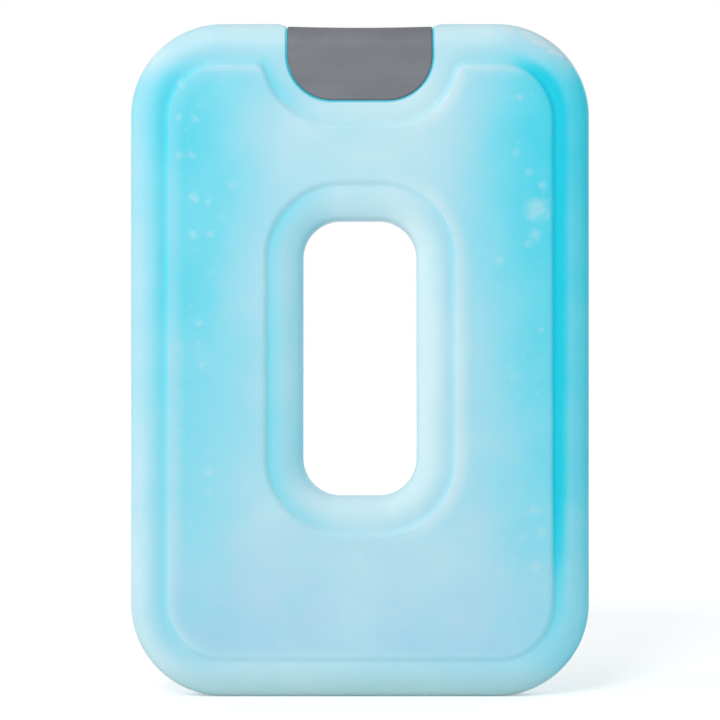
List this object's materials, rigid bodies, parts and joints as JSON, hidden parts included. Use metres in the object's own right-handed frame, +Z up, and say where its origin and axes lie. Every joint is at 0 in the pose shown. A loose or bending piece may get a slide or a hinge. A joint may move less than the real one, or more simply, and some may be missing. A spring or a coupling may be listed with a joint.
{
  "type": "reusable ice pack",
  "caption": "Flat rounded slab filled with refreezable coolant, with a long hand slot, raised panels on both faces and a saddle cap on its top edge.",
  "frame": {"origin": "middle of the lower edge that the pack stands on", "axes": "+X across the width, +Y from the front face to the back face, +Z up towards the cap"},
  "size_m": [0.186, 0.0224, 0.273],
  "materials": {
    "translucent_shell": "frosted translucent polyethylene, pale cyan",
    "grey_cap": "fine matt moulded grey",
    "natural_plug": "natural polyethylene, as moulded"
  },
  "bodies": {
    "root": {"pack_body": "translucent_shell", "port_cap": "grey_cap", "fill_plug": "natural_plug"}
  },
  "joints": []
}
